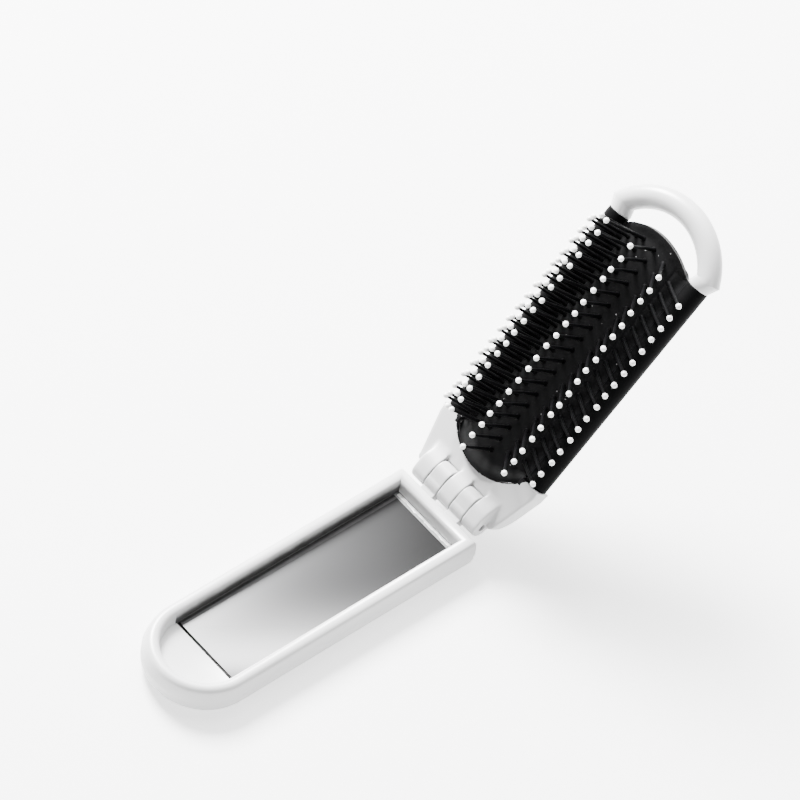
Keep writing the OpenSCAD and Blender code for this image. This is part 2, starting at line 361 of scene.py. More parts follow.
def sheet(name: str, along: int, across: int, lay: Callable[[Vector], Triple]) -> Thing:
    """Add a fine grid from -1 to 1 and lay each of its vertices by a rule.

    Args:
        name: Name of the sheet.
        along: How many faces it has along X.
        across: How many faces it has along Y.
        lay: Says where a vertex of the grid goes.

    Returns:
        The sheet, still without a thickness.
    """
    bpy.ops.mesh.primitive_grid_add(x_subdivisions=along, y_subdivisions=across, size=2)
    piece = fresh(name)
    model_over(piece, lay)
    return piece


# ------------------------------------------------------------------ finishes


@dataclass(frozen=True)
class Finish:
    """A finish with its own colour variation, gloss variation and fine relief.

    Scales are in repeats per metre, and heights in metres.
    """

    name: str
    slot: str
    light: Triple
    dark: Triple
    gloss: Point
    mottle_scale: float = 120.0
    grain_scale: float = 2600.0
    grain_height: float = 0.000006
    metallic: float = 0.0
    coat: float = 0.0
    coat_roughness: float = 0.15
    level: float = 0.5
    glow: float = 0.0

    def material(self) -> bpy.types.Material:
        """Make the material, or find it where it is already made.

        Returns:
            The material.
        """
        known = bpy.data.materials.get(self.name)
        if known:
            return known
        made = bpy.data.materials.new(self.name)
        made.use_nodes = True
        made.diffuse_color = (*self.light, 1.0)
        made.metallic = self.metallic
        tree = made.node_tree
        shader = tree.nodes["Principled BSDF"]
        shader.inputs["Metallic"].default_value = self.metallic
        shader.inputs["Coat Weight"].default_value = self.coat
        shader.inputs["Coat Roughness"].default_value = self.coat_roughness
        shader.inputs["Specular IOR Level"].default_value = self.level
        shader.inputs["Emission Color"].default_value = (1.0, 1.0, 1.0, 1.0)
        shader.inputs["Emission Strength"].default_value = self.glow
        place = tree.nodes.new("ShaderNodeTexCoord")
        self.dress(tree, shader, place.outputs["Object"])
        return made

    def noise(self, tree: Tree, place: Socket, scale: float, detail: float = 3.0) -> Socket:
        """Add a noise on the object's own coordinates.

        Args:
            tree: The material's nodes.
            place: The coordinates.
            scale: Repeats per metre.
            detail: How many finer layers it has.

        Returns:
            The noise's value.
        """
        noise = tree.nodes.new("ShaderNodeTexNoise")
        noise.inputs["Scale"].default_value = scale
        noise.inputs["Detail"].default_value = detail
        tree.links.new(place, noise.inputs["Vector"])
        return noise.outputs["Fac"]

    def ramp(self, tree: Tree, value: Socket, stops: Sequence[tuple[float, Triple]]) -> Socket:
        """Turn a value into a colour through a ramp.

        Args:
            tree: The material's nodes.
            value: The value, from 0 to 1.
            stops: Each stop's place and colour.

        Returns:
            The colour.
        """
        ramp = tree.nodes.new("ShaderNodeValToRGB")
        band = ramp.color_ramp
        while len(band.elements) < len(stops):
            band.elements.new(0.5)
        for element, (place, colour) in zip(band.elements, stops):
            element.position = place
            element.color = (*colour, 1.0)
        tree.links.new(value, ramp.inputs["Fac"])
        return ramp.outputs["Color"]

    def spread(self, tree: Tree, value: Socket, source: Point = (0.3, 0.7),
               target: Point = (0.0, 1.0)) -> Socket:
        """Spread a value from one range over another.

        Args:
            tree: The material's nodes.
            value: The value.
            source: Its own range, which for a noise lies round a half.
            target: The range that it is spread over.

        Returns:
            The new value.
        """
        span = tree.nodes.new("ShaderNodeMapRange")
        for side, low_high in (("From", source), ("To", target)):
            for end, number in zip(("Min", "Max"), low_high):
                span.inputs[f"{side} {end}"].default_value = number
        tree.links.new(value, span.inputs["Value"])
        return span.outputs["Result"]

    def reckon(self, tree: Tree, operation: str, first: Socket,
               second: Union[Socket, float]) -> Socket:
        """Work out one value from two.

        Args:
            tree: The material's nodes.
            operation: Blender's name of the sum.
            first: The first value.
            second: The second value, or a number.

        Returns:
            The result.
        """
        reckoned = tree.nodes.new("ShaderNodeMath")
        reckoned.operation = operation
        tree.links.new(first, reckoned.inputs[0])
        if isinstance(second, float):
            reckoned.inputs[1].default_value = second
        else:
            tree.links.new(second, reckoned.inputs[1])
        return reckoned.outputs[0]

    def relief(self, tree: Tree, shader: Node, height: Socket, depth: float) -> None:
        """Raise the surface by a height.

        Args:
            tree: The material's nodes.
            shader: The shader that takes the relief.
            height: The height, from 0 to 1.
            depth: What a height of 1 is in metres.
        """
        bump = tree.nodes.new("ShaderNodeBump")
        bump.inputs["Strength"].default_value = 0.6
        bump.inputs["Distance"].default_value = depth
        tree.links.new(height, bump.inputs["Height"])
        tree.links.new(bump.outputs["Normal"], shader.inputs["Normal"])

    def colour(self, tree: Tree, place: Socket) -> Socket:
        """The finish's colour over the piece."""
        cloud = self.noise(tree, place, self.mottle_scale)
        return self.ramp(tree, cloud, [(0.32, self.dark), (0.68, self.light)])

    def dress(self, tree: Tree, shader: Node, place: Socket) -> None:
        """Wire the colour, the gloss and the grain to the shader.

        Args:
            tree: The material's nodes.
            shader: The shader.
            place: The object's own coordinates.
        """
        tree.links.new(self.colour(tree, place), shader.inputs["Base Color"])
        cloud = self.noise(tree, place, self.mottle_scale * 3.1)
        roughness = self.spread(tree, cloud, target=self.gloss)
        tree.links.new(roughness, shader.inputs["Roughness"])
        grain = self.noise(tree, place, self.grain_scale, 2.0)
        self.relief(tree, shader, grain, self.grain_height)


@dataclass(frozen=True)
class DustyRubber(Finish):
    """Rubber with a few light specks of dust."""

    speck_scale: float = 520.0
    speck_size: float = 0.11
    speck: Triple = (0.2, 0.2, 0.2)
    cloud_scale: float = 210.0
    cloud_over: float = 0.6

    def colour(self, tree: Tree, place: Socket) -> Socket:
        """The rubber's colour, with specks where a second, wider noise is high.

        Args:
            tree: The material's nodes.
            place: The object's own coordinates.

        Returns:
            The colour.
        """
        base = super().colour(tree, place)
        cells = tree.nodes.new("ShaderNodeTexVoronoi")
        cells.inputs["Scale"].default_value = self.speck_scale
        tree.links.new(place, cells.inputs["Vector"])
        near = self.reckon(tree, "LESS_THAN", cells.outputs["Distance"], self.speck_size)
        cloud = self.noise(tree, place, self.cloud_scale, 1.0)
        dusty = self.reckon(tree, "GREATER_THAN", cloud, self.cloud_over)
        mix = tree.nodes.new("ShaderNodeMix")
        mix.data_type = "RGBA"
        ends = {end.identifier: end for end in (*mix.inputs, *mix.outputs)}
        tree.links.new(self.reckon(tree, "MULTIPLY", near, dusty), mix.inputs["Factor"])
        tree.links.new(base, ends["A_Color"])
        ends["B_Color"].default_value = (*self.speck, 1.0)
        return ends["Result_Color"]


@dataclass(frozen=True)
class MirrorPaintedReflection(Finish):
    """Mirror with a painted reflection: grey at the hinge, clear toward the round end, shaded along
    a slant.
    """

    slant: Triple = (0.439, 0.651, 0.0)
    dark_end: float = 0.0235
    clear_end: float = -0.0185
    blur: Point = (0.60, 0.15)
    steps: tuple[Point, ...] = ((0.42, 2.0), (0.74, 4.4))

    def dress(self, tree: Tree, shader: Node, place: Socket) -> None:
        """Paint the reflection as a long even shade from the hinge end to the round end.

        Args:
            tree: The material's nodes.
            shader: The shader.
            place: The object's own coordinates.
        """
        slope = tree.nodes.new("ShaderNodeVectorMath")
        slope.operation = "DOT_PRODUCT"
        slope.inputs[1].default_value = self.slant
        tree.links.new(place, slope.inputs[0])
        span = self.spread(tree, slope.outputs["Value"], (self.dark_end, self.clear_end))
        between = [(at, tuple(c * times for c in self.dark)) for at, times in self.steps]
        shade = self.ramp(tree, span, [(0.0, self.dark), *between, (1.0, self.light)])
        shade.node.color_ramp.interpolation = "B_SPLINE"
        tree.links.new(shade, shader.inputs["Base Color"])
        gloss = self.spread(tree, span, (0.0, 1.0), self.blur)
        tree.links.new(gloss, shader.inputs["Roughness"])


@dataclass(frozen=True)
class PaintedShadeWall(Finish):
    """Plastic with painted shade: black at the foot of a wall, fading up to the plain plastic."""

    # Heights in metres over which the painted shade fades from black to the plastic's own colour.
    foot: float = 0.0052
    head: float = 0.0083
    ragged: float = 0.0003
    ragged_scale: float = 260.0

    def colour(self, tree: Tree, place: Socket) -> Socket:
        """The wall's painted shade by its height, with an uneven upper edge.

        Args:
            tree: The material's nodes.
            place: The object's own coordinates.

        Returns:
            The colour.
        """
        split = tree.nodes.new("ShaderNodeSeparateXYZ")
        tree.links.new(place, split.inputs["Vector"])
        cloud = self.noise(tree, place, self.ragged_scale)
        uneven = self.spread(tree, cloud, target=(-self.ragged, self.ragged))
        height = self.reckon(tree, "ADD", split.outputs["Z"], uneven)
        span = self.spread(tree, height, (self.foot, self.head))
        middle = tuple(c * 6 for c in self.dark)
        return self.ramp(tree, span, [(0.0, self.dark), (0.45, middle), (1.0, self.light)])


@dataclass(frozen=True)
class DrawnPlastic(Finish):
    """A finish with streaks along one axis, as drawn nylon or turned steel has."""

    stretch: Triple = (1.0, 1.0, 0.04)

    def dress(self, tree: Tree, shader: Node, place: Socket) -> None:
        """Stretch the pattern along the piece before it is wired.

        Args:
            tree: The material's nodes.
            shader: The shader.
            place: The object's own coordinates.
        """
        mapping = tree.nodes.new("ShaderNodeMapping")
        mapping.inputs["Scale"].default_value = self.stretch
        tree.links.new(place, mapping.inputs["Vector"])
        super().dress(tree, shader, mapping.outputs["Vector"])


WHITE_PLASTIC = Finish(
    "moulded_white_plastic", "white_plastic", (0.50, 0.50, 0.502), (0.48, 0.48, 0.482),
    (0.30, 0.40), mottle_scale=60.0, coat=0.12, coat_roughness=0.22)
# Painted shade: the plastic turns black toward the foot of the pocket's wall.
POCKET_WALL_SHADE = PaintedShadeWall(
    "pocket_wall_painted_shade", "white_plastic", (0.48, 0.48, 0.482), (0.012, 0.012, 0.012),
    (0.30, 0.40), coat=0.12, coat_roughness=0.22)
TIP_WHITE = Finish(
    "ball_tip_white", "tip_white", (0.86, 0.86, 0.85), (0.78, 0.78, 0.77),
    (0.22, 0.32), mottle_scale=900.0, coat=0.3)
SLEEVE_RUBBER = Finish(
    "sleeve_rubber", "black_sleeve", (0.0030, 0.0030, 0.0031), (0.0021, 0.0021, 0.0022),
    (0.46, 0.56), mottle_scale=90.0, level=0.02)
PAD_RUBBER = DustyRubber(
    "pad_rubber_skin", "pad_rubber", (0.0062, 0.0062, 0.0064), (0.0045, 0.0045, 0.0047),
    (0.38, 0.5), mottle_scale=110.0, level=0.06)
BRISTLE_NYLON = DrawnPlastic(
    "bristle_nylon", "bristle_black", (0.0034, 0.0034, 0.0036), (0.0022, 0.0022, 0.0024),
    (0.44, 0.54), mottle_scale=700.0, level=0.03)
# Painted reflection: the mirror's colour runs from dark at the hinge to light at the round end.
MIRROR_PAINTED_REFLECTION = MirrorPaintedReflection(
    "mirror_painted_reflection", "mirror", (0.95, 0.95, 0.955), (0.016, 0.016, 0.0162),
    (0.07, 0.1), metallic=1.0)
# Painted shade on the glass along the pocket's left wall: a grey band for the wall's shaded
# reflection, and a darker line right at the wall.
MIRROR_PAINTED_SHADE_BAND = Finish(
    "mirror_painted_shade_band", "mirror", (0.045, 0.045, 0.045), (0.025, 0.025, 0.025),
    (0.3, 0.45), mottle_scale=160.0, level=0.2)
GROUND_EDGE = Finish(
    "ground_glass_edge", "mirror", (0.26, 0.265, 0.265), (0.16, 0.165, 0.165),
    (0.12, 0.3), mottle_scale=700.0, coat=0.6)
MIRROR_PAINTED_SHADE_LINE = Finish(
    "mirror_painted_shade_line", "mirror", (0.02, 0.02, 0.02), (0.01, 0.01, 0.01),
    (0.3, 0.45), mottle_scale=500.0, level=0.2)
GLUE = Finish(
    "glue_line", "mirror", (0.80, 0.80, 0.79), (0.45, 0.45, 0.45),
    (0.12, 0.35), mottle_scale=1200.0, grain_scale=1600.0, grain_height=0.00004, coat=0.5)
BACKING_PAINT = Finish(
    "backing_paint", "backing", (0.10, 0.10, 0.10), (0.06, 0.06, 0.06), (0.5, 0.65))
ADHESIVE_FOAM = Finish(
    "adhesive_foam", "foam", (0.55, 0.55, 0.54), (0.4, 0.4, 0.39),
    (0.75, 0.9), mottle_scale=1500.0, grain_height=0.00005)
PIN_STEEL = DrawnPlastic(
    "turned_pin_steel", "steel", (0.34, 0.34, 0.35), (0.2, 0.2, 0.21),
    (0.25, 0.4), metallic=1.0, mottle_scale=1500.0, stretch=(1.0, 0.05, 1.0))
FLOOR_PAINT = Finish(
    "studio_floor", "", (0.66, 0.66, 0.66), (0.655, 0.655, 0.655),
    (0.85, 0.9), mottle_scale=3.0, grain_height=0.0, glow=1.7)


def coat_faces(piece: Thing, finish: Finish, rule: Rule) -> None:
    """Give the faces that pass a rule a finish of their own.

    Args:
        piece: The piece, in object mode.
        finish: The second finish.
        rule: Takes a face's middle and normal.
    """
    piece.data.materials.append(finish.material())
    place = len(piece.data.materials) - 1
    for face in piece.data.polygons:
        if rule(face.center, face.normal):
            face.material_index = place


def hand_over(piece: Thing, at: Matrix, finish: Finish, body: str,
              stands_for: Sequence[str] = (), sharp: float = 34.0) -> None:
    """Set a finished piece in the model's frame, coat it and let it ride on its body.

    Args:
        piece: The piece, modelled in millimetres.
        at: The frame it was modelled in.
        finish: Its main finish.
        body: The body it moves with.
        stands_for: The CAD nodes that it replaces.
        sharp: The angle in degrees over which an edge stays sharp.
    """
    take_up(piece)
    piece.matrix_world = at
    bpy.ops.object.transform_apply(location=True, rotation=True, scale=True)
    bpy.ops.object.shade_smooth_by_angle(angle=math.radians(sharp))
    if piece.data.materials:
        piece.data.materials[0] = finish.material()
    else:
        piece.data.materials.append(finish.material())
    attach(piece, body)
    if stands_for:
        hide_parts(*stands_for)
    log.info("%s: %d faces, rides %s", piece.name, len(piece.data.polygons), body)


# --------------------------------------------------------------------- cover


@dataclass
class Cover:
    """The white cover with its rounded rim, the pocket for the mirror and two hinge knuckles."""

    edge: float = 3.35
    length: float = 91.0
    half_width: float = 15.15
    rim_z: float = -0.15
    thick: float = 8.85
    back_round: float = 3.4
    back_steps: tuple[float, ...] = (0.04, 0.14, 0.32, 0.6, 0.95, 1.9, 2.6)
    belly: float = 0.44
    belly_band: float = 0.05
    under_belly: Point = (0.02, 0.9)
    rim_inset: float = 0.65
    rim_width: float = 3.6
    bead_angles: tuple[float, ...] = (14, 27, 40, 64, 76, 88, 98, 110, 124, 138, 152, 166, 178)
    corner: float = 1.35
    corner_reach: float = 3.0
    pocket_depth: float = 4.0
    floor_fillet: float = 0.25
    fillet_steps: tuple[Point, ...] = ((0.1, 0.17), (0.15, 0.08))
    floor_reach: float = 0.6
    recess_depth: float = 2.1
    glass_end: float = 78.85
    # Painted shade on the pocket's left wall and in the recess: how far below the rim it starts,
    # and how far past the rim's inner edge it reaches.
    wall_shade_drop: float = 0.3
    wall_shade_lap: float = 0.9
    parting_step: float = 0.4
    pin_bore_r: float = 1.06
    drum_reach: float = 2.85
    drum_r: float = 2.92
    foot_sink: float = 0.9
    foot_low: float = -2.95
    foot_high: float = -0.5
    foot_flare: tuple[Point, ...] = ((0, 1.2), (-1.6, 1.0), (-2.7, 0.2))
    voxel: float = 0.13
    smoothing: int = 7

    @property
    def bow(self) -> float:
        """Distance from the hinge axis to the middle of the round end."""
        return self.edge + self.length - self.half_width

    @property
    def back_z(self) -> float:
        """Height of the flat back."""
        return self.rim_z - self.thick

    @property
    def belly_z(self) -> float:
        """Height of the widest line."""
        return self.rim_z - self.thick * self.belly

    @property
    def floor_z(self) -> float:
        """Height of the pocket's floor, which is the round end's shelf."""
        return self.rim_z - self.pocket_depth

    def at_hinge(self, p: Vector) -> bool:
        """Whether a point is on the cover's edge at the hinge."""
        return p.x > -self.edge - HAIR

    def rough_plan(self) -> Thing:
        """Draw the cover's plan: half a circle drawn out to the hinge, with two rounded corners.

        Returns:
            The cover's piece, so far one flat face.
        """
        bpy.ops.mesh.primitive_circle_add(
            vertices=128, radius=self.half_width, location=(-self.bow, 0, self.belly_z)
        )
        shell = fresh("cover_shell_skin")
        with editing(shell):
            pick(shell, Part.VERTS, lambda p, n: p.x > -self.bow + HAIR)
            bpy.ops.mesh.delete(type="VERT")
            pick(shell, Part.VERTS, lambda p, n: abs(p.y) > self.half_width - 0.001)
            reach = (self.bow - self.edge, 0, 0)
            bpy.ops.mesh.extrude_vertices_move(TRANSFORM_OT_translate={"value": reach})
            pick(shell, Part.VERTS, lambda p, n: self.at_hinge(p))
            bpy.ops.mesh.edge_face_add()
            pick_all()
            bpy.ops.mesh.edge_face_add()
            pick(shell, Part.VERTS, lambda p, n: self.at_hinge(p))
            bpy.ops.mesh.bevel(offset=self.corner, segments=7, affect="VERTICES",
                               clamp_overlap=False)
        return shell

    def raise_rim(self, shell: Thing) -> None:
        """Step the top face inward round the rim's bead, then down the pocket's wall.

        Args:
            shell: The cover in edit mode, with its top face selected.
        """
        radius = self.rim_width / 2
        centre = self.half_width - self.rim_inset - radius
        run_out = math.degrees(math.acos((self.half_width - centre - self.corner) / radius))
        inset, height = 0.0, self.belly_z + self.belly_band
        for angle in sorted((*self.bead_angles, run_out)):
            a = math.radians(angle)
            to_inset = self.half_width - centre - radius * math.cos(a)
            to_height = self.rim_z - radius + radius * math.sin(a)
            step_in(to_inset - inset, to_height - height)
            if not inset:
                pick(shell, Part.VERTS, lambda p, n: p.z > to_height - HAIR
                     and p.x > -self.edge - self.corner_reach)
                shift(x=self.rim_inset)
                pick_widest(shell, lambda p, n: p.z > to_height - HAIR)
            if angle == run_out:
                gather_corners(shell, self.rim_inset - self.edge - self.corner,
                               self.half_width - self.corner)
                pick_widest(shell, lambda p, n: p.z > to_height - HAIR and n.z > LEVEL)
            inset, height = to_inset, to_height
        push(z=self.floor_z - height + self.floor_fillet)
        for inward, down in self.fillet_steps:
            step_in(inward, -down)
        pick_widest(shell, lambda p, n: abs(p.z - self.floor_z) < self.floor_reach and n.z > LEVEL)

    def sink_recess(self, shell: Thing) -> None:
        """Sink the glass's recess in the pocket's floor, up to the round end's shelf.

        Args:
            shell: The cover in edit mode, with the pocket's floor selected.
        """
        bpy.ops.mesh.bisect(plane_co=(-self.glass_end, 0, 0), plane_no=(1, 0, 0))
        pick_widest(shell, lambda p, n: n.z > LEVEL and p.x > -self.glass_end + 1
                    and abs(p.z - self.floor_z) < self.floor_reach)
        push(z=-self.recess_depth)

    def round_back(self, shell: Thing) -> None:
        """Step the lower face down round the back's edge, below the parting step at the hinge.

        Args:
            shell: The cover in edit mode.
        """
        first_inset, drop = self.under_belly
        pick_widest(shell, lambda p, n: n.z < -LEVEL)
        step_in(first_inset, drop)
        level = self.belly_z - drop
        pick(shell, Part.VERTS, lambda p, n: p.z < level + self.belly_band
             and p.x > -self.edge - self.corner_reach)
        shift(x=-self.parting_step)
        pick_widest(shell, lambda p, n: n.z < -LEVEL)
        radius, inset, height = self.back_round, first_inset, level
        for share in sorted((*self.back_steps, self.corner, radius)):
            fall = math.sqrt(max(radius**2 - (radius - share) ** 2, 0.0))
            to_height = self.back_z + radius - fall
            if to_height >= height:
                continue
            step_in(share - inset, height - to_height)
            if share == self.corner:
                gather_corners(shell, -self.edge - self.parting_step - share,
                               self.half_width - share)
                pick_widest(shell, lambda p, n: n.z < -LEVEL)
            inset, height = share, to_height

    def gets_painted_shade(self, p: Vector, n: Vector) -> bool:
        """Say whether a face gets the painted shade.

        Args:
            p: The face's middle.
            n: Its normal.

        Returns:
            Whether it is on the pocket's left inner wall or in the glass's recess.
        """
        inner = self.half_width - self.rim_inset - self.rim_width + self.wall_shade_lap
        on_wall = n.y < -0.3 and 0 < p.y < inner and p.z < self.rim_z - self.wall_shade_drop
        in_recess = (abs(p.y) < inner and p.z < self.floor_z - self.wall_shade_drop and n.z > -0.1
                     and p.x < -self.edge - self.corner_reach)
        return p.x > -self.bow and (on_wall or in_recess)

    def build_shell(self) -> None:
        """Model the cover itself."""
        shell = self.rough_plan()
        with editing(shell):
            pick_all()
            push(z=self.belly_band)
            pick_widest(shell, lambda p, n: p.z > self.belly_z + self.belly_band - HAIR)
            self.raise_rim(shell)
            self.sink_recess(shell)
            self.round_back(shell)
        turn_outward(shell)
        shell.data.materials.append(WHITE_PLASTIC.material())
        # The pocket's left inner wall and the glass's recess get painted shade, darkest at the
        # foot.
        coat_faces(shell, POCKET_WALL_SHADE, self.gets_painted_shade)
        hand_over(shell, HINGE_FRAME, WHITE_PLASTIC, "cover", ["cover_shell"], sharp=40)

    def drum(self) -> list[Point]:
        """Draw the long round section that a knuckle has toward the brush.

        Returns:
            Its outline in X and Z, turned to the open brush.
        """
        raised = math.radians(OPEN_RAISE)
        cos, sin = math.cos(raised), math.sin(raised)
        far_round = arc((self.drum_reach, 0), self.drum_r, 90, -90, 20)
        near_round = arc((0, 0), self.drum_r, -90, -270, 20)
        return [(x * cos - z * sin, x * sin + z * cos) for x, z in far_round + near_round[1:-1]]

    def build_knuckles(self) -> None:
        """Model the cover's two knuckles on their feet, which flare into the cover's edge."""
        half = (KNUCKLES.pitch - KNUCKLES.gap) / 2
        root = -self.edge - self.foot_sink
        sole = [(root, self.foot_low), (0, self.foot_low), *self.foot_flare,
                (root, self.foot_high)]
        pair = None
        for side in (-1, 1):
            low, high = side * KNUCKLES.pitch - half, side * KNUCKLES.pitch + half
            roll = barrel("roll", KNUCKLES.radius, low, high)
            carve(roll, block("drum", self.drum(), low, high, across=True), Cut.ADD)
            carve(roll, block("foot", sole, low, high, across=True), Cut.ADD)
            carve(roll, barrel("bore", self.pin_bore_r, low - 1, high + 1), Cut.REMOVE)
            if pair is None:
                pair = roll
            else:
                carve(pair, roll, Cut.ADD)
        pair.name = "cover_knuckles"
        work(pair, "REMESH", mode="VOXEL", voxel_size=self.voxel)
        work(pair, "SMOOTH", factor=0.5, iterations=self.smoothing)
        hand_over(pair, HINGE_FRAME, WHITE_PLASTIC, "cover", sharp=60)

    def build(self) -> None:
        """Build and dress the cover."""
        self.build_shell()
        self.build_knuckles()


# -------------------------------------------------------------------- mirror


@dataclass
class Mirror:
    """The glass in the cover with its ground edge, a painted shade along its left edge and glue
    line.
    """

    start: float = 7.1
    end: float = 78.1
    half_width: float = 10.75
    top: float = -4.15
    thick: float = 1.3
    ground: float = 1.8
    ground_drop: float = 0.45
    # Widths of the painted shade band and the darker painted shade line along the glass's left
    # edge.
    margin: float = 1.5
    shade_line_width: float = 0.75
    glue_inset: float = 0.5
    glue_width: float = 1.0
    glue_wave: float = 0.26
    glue_thick: float = 0.16
    glue_seed: int = 11

    def build_glass(self) -> None:
        """Model the glass: a slab, ground down at the hinge end, with softened edges."""
        bpy.ops.mesh.primitive_cube_add(
            size=1,
            location=(-(self.start + self.end) / 2, 0, self.top - self.thick / 2),
            scale=(self.end - self.start, 2 * self.half_width, self.thick),
        )
        glass = fresh("mirror_glass_plate")
        ground_x = -self.start - self.ground
        with editing(glass):
            pick_all()
            bpy.ops.mesh.bisect(plane_co=(ground_x, 0, 0), plane_no=(1, 0, 0))
            for margin in (self.margin, self.shade_line_width):
                pick_all()
                bpy.ops.mesh.bisect(plane_co=(0, self.half_width - margin, 0),
                                    plane_no=(0, 1, 0))
            pick(glass, Part.VERTS,
                 lambda p, n: p.x > -self.start - HAIR and p.z > self.top - HAIR)
            shift(z=-self.ground_drop)
        turn_outward(glass)
        round_edges(glass, 0.09, 2)
        # The glass's colour is a painted reflection, dark at the hinge and light at the round end.
        glass.data.materials.append(MIRROR_PAINTED_REFLECTION.material())
        coat_faces(glass, GROUND_EDGE, lambda p, n: p.x > ground_x)
        # A painted shade band and a darker painted shade line along the glass's left edge, next to
        # the pocket wall.
        for finish, width in ((MIRROR_PAINTED_SHADE_BAND, self.margin), (MIRROR_PAINTED_SHADE_LINE, self.shade_line_width)):
            coat_faces(glass, finish, lambda p, n: n.z > 0.9 and p.x < ground_x
                       and p.y > self.half_width - width)
        hand_over(glass, HINGE_FRAME, MIRROR_PAINTED_REFLECTION, "cover", ["mirror_glass"], sharp=30)

    def build_glue(self) -> None:
        """Model the glue line that has run unevenly along the glass's hinge end."""
        draw = random.Random(self.glue_seed)
        waves = [(draw.uniform(0.8, 1.6) * k, draw.uniform(0, 6.28)) for k in (1, 2, 4, 7)]

        def run(p: Vector) -> Triple:
            """Place a vertex of the strip: a straight edge at the wall, a wavy one on the glass.

            Args:
                p: The vertex's place in the grid.

            Returns:
                Its place on the glass.
            """
            y = p.y * (self.half_width - self.glue_inset)
            wave = sum(math.sin(y * rate + turn) / (1 + rate) for rate, turn in waves)
            width = self.glue_width + self.glue_wave * wave
            x = -self.start - 0.05 - width * (1 - p.x) / 2
            lift = 0.10 + 0.14 * (1 + p.x) / 2 + 0.03 * wave
            drop = self.ground_drop * (1 - (-x - self.start) / self.ground)
            return (x, y, self.top - drop + lift)

        glue = sheet("mirror_glue_line", 3, 90, run)
        work(glue, "SOLIDIFY", thickness=self.glue_thick, offset=-1.0)
        work(glue, "SUBSURF", levels=1, render_levels=1)
        turn_outward(glue)
        hand_over(glue, HINGE_FRAME, GLUE, "cover", sharp=80)

    def build(self) -> None:
        """Build and dress the mirror."""
        self.build_glass()
        self.build_glue()


# --------------------------------------------------------------- brush frame


